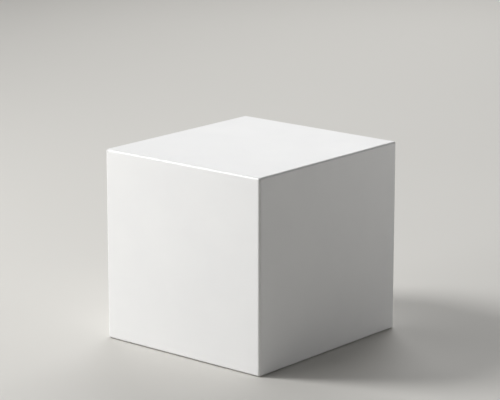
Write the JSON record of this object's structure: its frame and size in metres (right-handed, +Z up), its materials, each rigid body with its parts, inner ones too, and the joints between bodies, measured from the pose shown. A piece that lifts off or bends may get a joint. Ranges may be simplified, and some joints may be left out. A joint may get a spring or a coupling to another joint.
{
  "type": "display cube",
  "caption": "Open-bottomed display cube of mitred white acrylic panels, stiffened by rods inside its joints, on base gussets with bumper feet.",
  "frame": {"origin": "centre of the base, on the plane of the undersides of the bumper feet", "axes": "+Z up out of the top face, front face towards -Y, right face towards +X; the longer side of the base runs along Y"},
  "size_m": [0.205, 0.22, 0.201],
  "materials": {
    "satin_white_acrylic": "satin cast acrylic sheet, opaque white",
    "gloss_white_acrylic": "gloss white acrylic rod and sheet, as sawn and scraped",
    "bumper_rubber": "matte black"
  },
  "bodies": {
    "root": {"top_panel": "satin_white_acrylic", "front_panel": "satin_white_acrylic", "back_panel": "satin_white_acrylic", "left_panel": "satin_white_acrylic", "right_panel": "satin_white_acrylic", "top_strip_front": "gloss_white_acrylic", "top_strip_back": "gloss_white_acrylic", "top_strip_left": "gloss_white_acrylic", "top_strip_right": "gloss_white_acrylic", "corner_strip_front_left": "gloss_white_acrylic", "corner_strip_front_right": "gloss_white_acrylic", "corner_strip_back_left": "gloss_white_acrylic", "corner_strip_back_right": "gloss_white_acrylic", "base_gusset_front_left": "gloss_white_acrylic", "base_gusset_front_right": "gloss_white_acrylic", "base_gusset_back_left": "gloss_white_acrylic", "base_gusset_back_right": "gloss_white_acrylic", "bumper_foot_front_left": "bumper_rubber", "bumper_foot_front_right": "bumper_rubber", "bumper_foot_back_left": "bumper_rubber", "bumper_foot_back_right": "bumper_rubber"}
  },
  "joints": []
}
